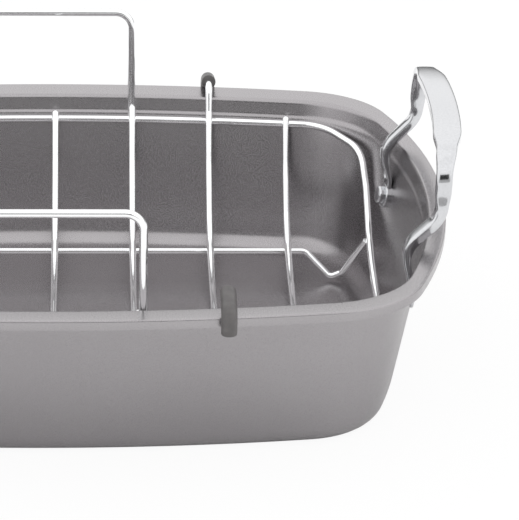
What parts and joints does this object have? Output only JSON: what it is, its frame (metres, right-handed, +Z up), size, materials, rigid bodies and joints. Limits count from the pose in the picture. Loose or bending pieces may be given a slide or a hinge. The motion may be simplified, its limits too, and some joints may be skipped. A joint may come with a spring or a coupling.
{
  "type": "roasting pan with rack",
  "caption": "Deep rectangular roasting pan with bowed sides, a flanged rim and riveted bail handles, holding a lift-out wire rack that hooks over the long sides.",
  "frame": {"origin": "centre of the pan's plan outline, on the surface that the pan stands on", "axes": "+X along the pan to its right handle, +Y to the rear long side, +Z up"},
  "size_m": [0.419, 0.341, 0.1366],
  "materials": {
    "coated_steel": "warm dark-grey metallic non-stick coat, satin",
    "polished_steel": "polished stainless steel",
    "chrome_wire": "bright chrome plate on round wire",
    "grey_silicone": "smooth warm-grey silicone, low gloss"
  },
  "bodies": {
    "pan": {"pan_shell": "coated_steel", "right_handle": "polished_steel", "left_handle": "polished_steel", "right_rear_rivet": "polished_steel", "right_front_rivet": "polished_steel", "left_rear_rivet": "polished_steel", "left_front_rivet": "polished_steel"},
    "rack": {"rack_frame": "chrome_wire", "center_rib": "chrome_wire", "right_inner_rib": "chrome_wire", "left_inner_rib": "chrome_wire", "right_end_rib": "chrome_wire", "left_end_rib": "chrome_wire", "right_hook_rib": "chrome_wire", "left_hook_rib": "chrome_wire", "rear_loop": "chrome_wire", "front_loop": "chrome_wire", "rear_foot_rail": "chrome_wire", "front_foot_rail": "chrome_wire", "right_rear_sleeve": "grey_silicone", "right_front_sleeve": "grey_silicone", "left_rear_sleeve": "grey_silicone", "left_front_sleeve": "grey_silicone"}
  },
  "joints": [
    {"name": "rack_lift", "type": "slide", "parent": "pan", "child": "rack", "axis": [0, 0, 1], "range_m": [0, 0.1]}
  ]
}
